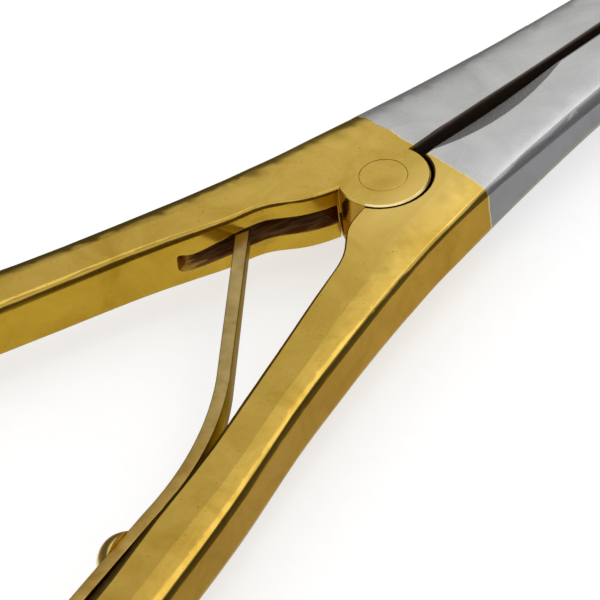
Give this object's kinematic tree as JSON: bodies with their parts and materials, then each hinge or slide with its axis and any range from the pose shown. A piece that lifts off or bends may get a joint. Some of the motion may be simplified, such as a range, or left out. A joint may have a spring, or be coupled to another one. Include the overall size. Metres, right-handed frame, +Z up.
{
  "type": "vaginal retractor",
  "caption": "Pliers-type vaginal retractor: gold-plated sprung handles, flush lap joint and steel jaws that spread two smooth blades when the handles are squeezed.",
  "frame": {"origin": "on the pivot's axis, at the joint's flat underside", "axes": "+X from the pivot towards the blades, +Y towards the left arm, +Z up along the pivot's axis"},
  "size_m": [0.257, 0.0824, 0.0139],
  "materials": {
    "arm_finish": "gold plate on steel, polished, bare polished steel beyond the joint",
    "spring_finish": "thin gold plate on spring steel, satin",
    "screw_finish": "gold plate on steel, polished",
    "rivet_finish": "gold plate on steel, dressed flush"
  },
  "bodies": {
    "right_half": {"right_arm": "arm_finish", "leaf_spring": "spring_finish", "spring_screw": "screw_finish"},
    "left_half": {"left_arm": "arm_finish", "pivot_rivet": "rivet_finish"}
  },
  "joints": [
    {"name": "jaw_pivot", "type": "hinge", "parent": "right_half", "child": "left_half", "pos_m": [0, 0, 0.00325], "axis": [0, 0, 1], "range_deg": [0, 28], "stiffness_Nm_per_rad": 0.8, "springref_deg": -11.46, "deforming": ["leaf_spring"]}
  ]
}
